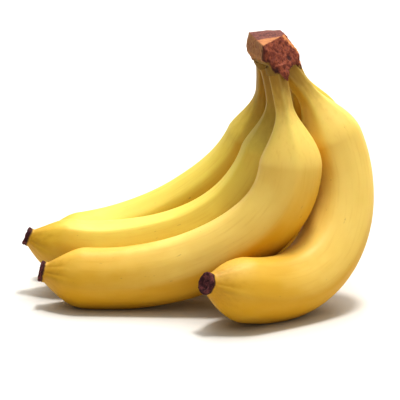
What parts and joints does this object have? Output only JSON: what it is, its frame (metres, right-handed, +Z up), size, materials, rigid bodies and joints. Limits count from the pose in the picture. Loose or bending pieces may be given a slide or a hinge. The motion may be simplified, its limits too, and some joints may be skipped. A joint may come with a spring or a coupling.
{
  "type": "bunch of bananas",
  "caption": "Bunch of ripe curved bananas joined at one cut brown crown, standing on the fingers' undersides with the dark blossom ends turned up.",
  "frame": {"origin": "centre of the ground the bunch covers, on the surface it stands on", "axes": "+Z up, +X along the bunch's length away from the left fingers' tips, +Y away from the viewer"},
  "size_m": [0.2196, 0.1694, 0.166],
  "materials": {
    "peel": "ripe yellow peel, smooth and faintly waxy, olive towards the neck and faintly green at the tip",
    "crown_skin": "dry, fibrous, red-brown cut stalk with a tan scar",
    "dried_flower": "dry, lumpy, dark purple-brown"
  },
  "bodies": {
    "root": {"crown": "crown_skin", "banana_front": "peel", "banana_right": "peel", "banana_left": "peel", "banana_back_left": "peel", "banana_rear": "peel", "blossom_end_front": "dried_flower", "blossom_end_right": "dried_flower", "blossom_end_left": "dried_flower", "blossom_end_back_left": "dried_flower", "blossom_end_rear": "dried_flower"}
  },
  "joints": []
}
